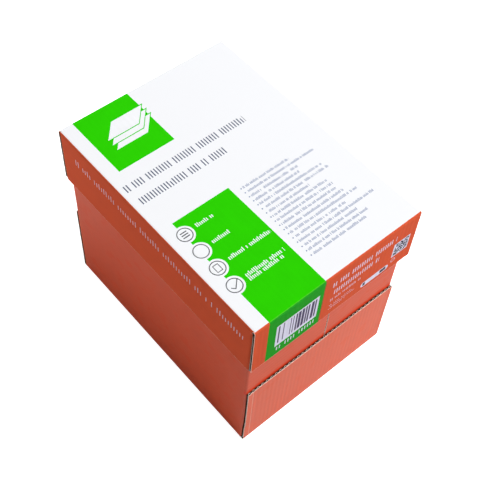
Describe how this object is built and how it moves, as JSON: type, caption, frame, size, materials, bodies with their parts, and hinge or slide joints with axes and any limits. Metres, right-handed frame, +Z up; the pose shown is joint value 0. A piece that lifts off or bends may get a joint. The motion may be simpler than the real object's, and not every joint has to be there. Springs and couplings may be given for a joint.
{
  "type": "carton of copier paper",
  "caption": "Two-piece fluted-board carton with a lift-off lid, packed with wrapped A4 paper reams lying flat in one stack.",
  "frame": {"origin": "middle of the carton's footprint, on the surface it stands on", "axes": "+Z up; Y along the carton, with the printed short end at -Y; X across it, with the long walls at -X and +X"},
  "size_m": [0.2258, 0.3172, 0.252],
  "materials": {
    "tray_board": "matte printed fluted board",
    "lid_board": "matte white-faced fluted board with printed fields",
    "ream_wrap": "smooth white ream wrapper"
  },
  "bodies": {
    "carton": {"tray": "tray_board", "ream_1": "ream_wrap", "ream_2": "ream_wrap", "ream_3": "ream_wrap", "ream_4": "ream_wrap", "ream_5": "ream_wrap"},
    "lid": {"lid": "lid_board"}
  },
  "joints": [
    {"name": "lid_lift", "type": "slide", "parent": "carton", "child": "lid", "axis": [0, 0, 1], "range_m": [0, 0.09]}
  ]
}
